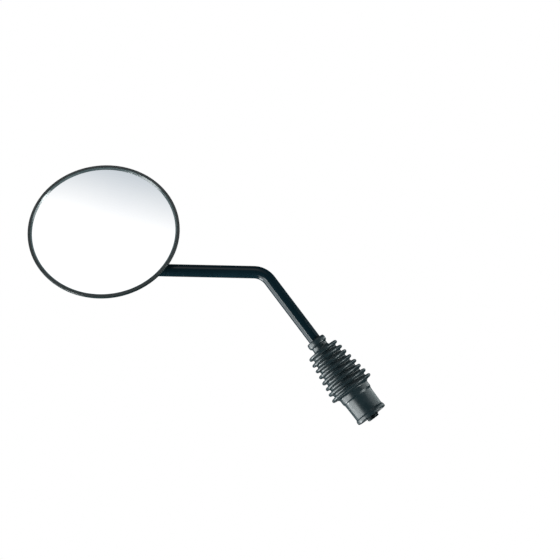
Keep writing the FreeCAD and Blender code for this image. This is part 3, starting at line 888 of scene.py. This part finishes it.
def make_plate(materials):
    x_range = (PLATE_X - PLATE_LENGTH / 2, PLATE_X + PLATE_LENGTH / 2)
    y_range = (CENTRE_OFFSET - PLATE_NEAR, CENTRE_OFFSET + PLATE_FAR)
    body = slab(
        "plate", x_range, y_range,
        [(0.0, PLATE_LOW), (0.0, PLATE_FLAT + 1.3), (0.1, PLATE_FLAT + 0.75), (0.35, PLATE_FLAT + 0.32),
         (0.75, PLATE_FLAT + 0.08), (1.3, PLATE_FLAT)], 2.6, plate_crown)
    cutters = rod_room()
    deep = PLATE_FLAT - 4.0
    mouth = PLATE_FLAT - 0.35
    hole = [
        (0.0, -10.0), (SCREW_R + 0.25, -10.0), (SCREW_R + 0.25, SCREW_SEAT), (RECESS_R, SCREW_SEAT),
        (RECESS_R, PLATE_FLAT + 0.35), (RECESS_R + 0.12, PLATE_FLAT + 0.12), (RECESS_R + 0.6, mouth),
        (RECESS_R + 0.6, deep), (0.0, deep),
    ]
    for x, y in screw_places():
        cutters.append(mesh_from("hole", *turn_outline(hole, 64), Matrix.Translation(Vector((x, y, 0)) * MM)))
    mesh = combine(body, cutters, "DIFFERENCE")
    mesh.transform(HEAD)
    plate = finish_mesh("rod_plate", mesh, 32.0)
    plate.data.materials.clear()
    plate.data.materials.append(materials["grain"])
    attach(plate, "head")
    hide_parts("clamp_plate")


def cross_cutter(top):
    """The tapered cross of a screwdriver's tip, reaching down from the top of the head."""
    long_half, short_half, depth = 2.15, 0.5, 1.6
    layers = [(top - 1.0, 1.0), (top + 0.35 * depth, 0.86), (top + depth, 0.35)]
    vertices, faces = [], []
    for z, scale in layers:
        a, b = long_half * scale, short_half * (0.55 + 0.45 * scale)
        for sx, sy in [(1, 1), (-1, 1), (-1, -1), (1, -1)]:
            corner = [(sx * a, sy * b, z), (sx * b, sy * b, z), (sx * b, sy * a, z)]
            vertices += corner if sx == sy else reversed(corner)
    count = len(vertices) // len(layers)
    for layer in range(len(layers) - 1):
        for i in range(count):
            j = (i + 1) % count
            p, q = layer * count, (layer + 1) * count
            faces.append([p + i, p + j, q + j, q + i])
    faces.append(list(range(count)))
    faces.append([(len(layers) - 1) * count + i for i in range(count)])
    return mesh_from("cross", vertices, faces)


def make_screws(materials):
    top = SCREW_SEAT - SCREW_HEAD_H
    outline = soft([
        (0.0, SCREW_TIP), (SCREW_R - 0.4, SCREW_TIP), (SCREW_R, SCREW_TIP - 0.4), (SCREW_R, SCREW_SEAT),
        (SCREW_HEAD_R, SCREW_SEAT, 0.25), (SCREW_HEAD_R, SCREW_SEAT - 0.9, 0.5),
        (SCREW_HEAD_R - 0.7, top + 0.5, 0.6), (SCREW_HEAD_R - 2.0, top, 0.9), (0.0, top),
    ], 6)
    for number, (x, y) in enumerate(screw_places(), 1):
        mesh = combine(mesh_from("screw", *turn_outline(outline, 64)), [cross_cutter(top)], "DIFFERENCE")
        turn = Matrix.Rotation(math.radians(FIRST_CROSS_DEG + CROSS_STEP_DEG * number), 4, "Z")
        mesh.transform(HEAD @ Matrix.Translation(Vector((x, y, 0)) * MM) @ turn)
        screw = finish_mesh(f"clamp_screw_{number}", mesh, 32.0)
        screw.data.materials.clear()
        screw.data.materials.append(materials["screw"])
        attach(screw, "head")
        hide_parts("clamp_screws")


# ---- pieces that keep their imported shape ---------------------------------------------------


def dress_nodes(materials):
    """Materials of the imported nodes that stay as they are, most of them inside."""
    looks = {
        "zinc": ["socket_retaining_nut", "ball_screw"],
        "black_steel": ["threaded_stud", "lock_washer", "lock_nut", "socket_body"],
        "spring": ["disc_springs", "thrust_washer", "ball"],
        "nylon": ["lower_ball_seat", "upper_ball_seat", "clamp_sleeve"],
        "rubber": ["rubber_boot", "glass_gasket"],
        "paint": ["stem_rod"],
        "grain": ["mirror_housing", "clamp_plate"],
        "bezel": ["rim_bezel"],
        "glass": ["mirror_glass"],
        "foam": ["foam_pad"],
        "screw": ["clamp_screws"],
        "brass": ["threaded_inserts"],
    }
    for look, names in looks.items():
        for name in names:
            node = frame["nodes"][name]
            for slot in node.material_slots:
                slot.material = materials[look]


def main():
    make_camera()
    make_world()
    softbox("left", (-0.82, -0.53, 0.17), 2.0, 2.4, 2.2, 5.4, (0.96, 1.0, 1.0))
    softbox("bend", (-0.55, -0.80, -0.20), 2.0, 0.5, 0.5, 24.0, (0.96, 1.0, 1.0))
    softbox("right", (0.91, 0.00, 0.34), 2.0, 0.8, 0.8, 14.0, (0.92, 1.0, 1.0))
    softbox("strip", (0.791, 0.565, -0.235), 0.5, 0.9, 0.085, 3.4, (0.92, 1.0, 1.0), "stem_tilt")
    softbox("glint", (-0.62, -0.46, 0.64), 2.0, 0.35, 0.35, 15.0, (0.94, 1.0, 1.0))
    materials = {
        "paint": rod_paint(),
        "rubber": boot_rubber(),
        "grain": grained_plastic(),
        "bezel": bezel_plastic(),
        "lip": lip_painted_reflection(),
        # The lip's lighter grey is a painted reflection, not the plastic's own colour.
        "glass": silvered_glass(),
        "zinc": plated_steel("zinc_plate", (0.66, 0.67, 0.68), 0.3),
        "black_steel": plated_steel("black_steel", (0.055, 0.068, 0.072), 0.4),
        "spring": plated_steel("spring_steel", (0.45, 0.46, 0.48), 0.3),
        "screw": plated_steel("black_zinc", (0.09, 0.095, 0.10), 0.28),
        "brass": plated_steel("brass", (0.75, 0.58, 0.28), 0.3),
        "nylon": moulded_plastic("nylon", (0.82, 0.81, 0.75), 0.45),
        "foam": foam(),
    }
    dress_nodes(materials)
    make_stud(materials)
    make_boot(materials)
    make_rod(materials)
    make_bezel(materials)
    make_glass(materials)
    make_housing(materials)
    make_plate(materials)
    make_screws(materials)


main()
